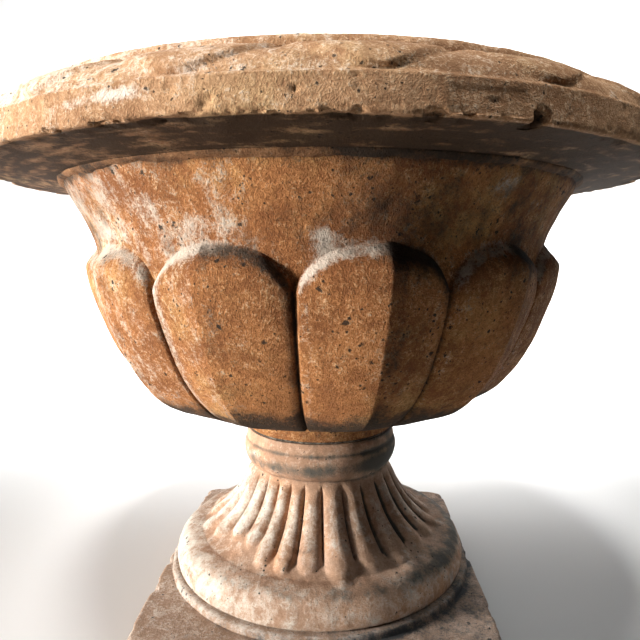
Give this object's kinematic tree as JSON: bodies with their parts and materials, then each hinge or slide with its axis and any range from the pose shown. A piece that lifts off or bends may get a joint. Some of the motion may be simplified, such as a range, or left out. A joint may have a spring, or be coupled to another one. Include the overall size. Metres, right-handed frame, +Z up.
{
  "type": "terracotta garden urn",
  "caption": "Footed garden urn with an overhanging moulded rim, keeled lobes round the bowl, a ribbed trumpet foot and a square plinth, clamped by a tie rod.",
  "frame": {"origin": "on the urn's axis, at the middle of the plinth's underside", "axes": "+Z up along the urn's axis; X and Y square to the plinth's sides, -Y towards the viewer"},
  "size_m": [0.6, 0.6, 0.475],
  "materials": {
    "rim_clay": "weathered, pale lime bloom",
    "bowl_clay": "weathered, matt, pitted",
    "foot_clay": "weathered, matt",
    "plinth_clay": "weathered, matt, grey",
    "lime_mortar": "matt",
    "ironwork": "dulled, light rust",
    "seal_rubber": "matt"
  },
  "bodies": {
    "root": {"rim_ring": "rim_clay", "rim_joint_roll": "bowl_clay", "bowl": "bowl_clay", "neck_mortar_bed": "lime_mortar", "foot": "foot_clay", "base_mortar_bed": "lime_mortar", "plinth": "plinth_clay", "tie_rod": "ironwork", "bowl_seal_washer": "seal_rubber", "bowl_plate_washer": "ironwork", "bowl_nut": "ironwork", "anchor_plate": "ironwork", "anchor_washer": "ironwork", "anchor_nut": "ironwork"}
  },
  "joints": []
}
